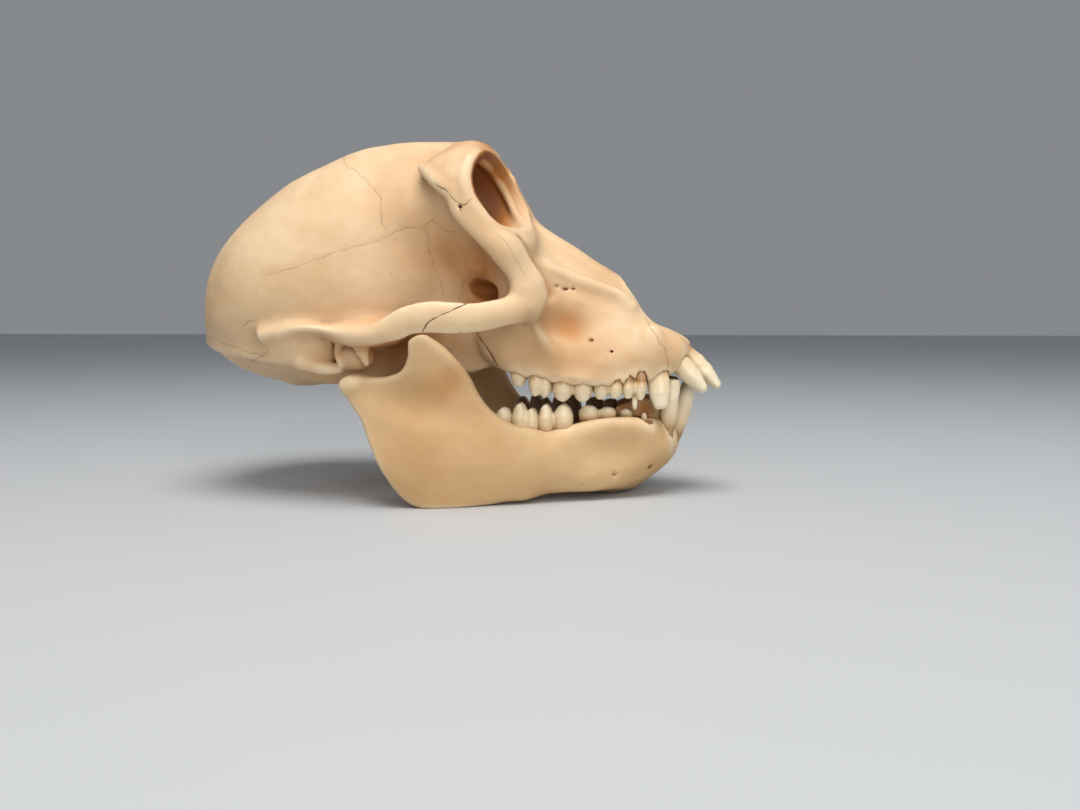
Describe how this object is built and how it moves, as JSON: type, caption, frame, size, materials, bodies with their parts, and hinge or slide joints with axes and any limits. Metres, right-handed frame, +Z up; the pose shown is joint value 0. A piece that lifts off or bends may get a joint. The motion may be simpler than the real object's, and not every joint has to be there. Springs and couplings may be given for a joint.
{
  "type": "baboon skull",
  "caption": "Life-size skull of a young baboon with its lower jaw, resting on the jaw with the teeth nearly closed.",
  "frame": {"origin": "on the floor, under the middle of the skull's bounding box", "axes": "+X forward to the incisors, +Y to the skull's left, +Z up"},
  "size_m": [0.1558, 0.0885, 0.1039],
  "materials": {
    "cranium_bone": "dry cleaned bone, matt, cream with tan hollows",
    "mandible_bone": "dry cleaned bone, matt, slightly more ochre"
  },
  "bodies": {
    "root": {"cranium": "cranium_bone", "mandible": "mandible_bone"}
  },
  "joints": []
}
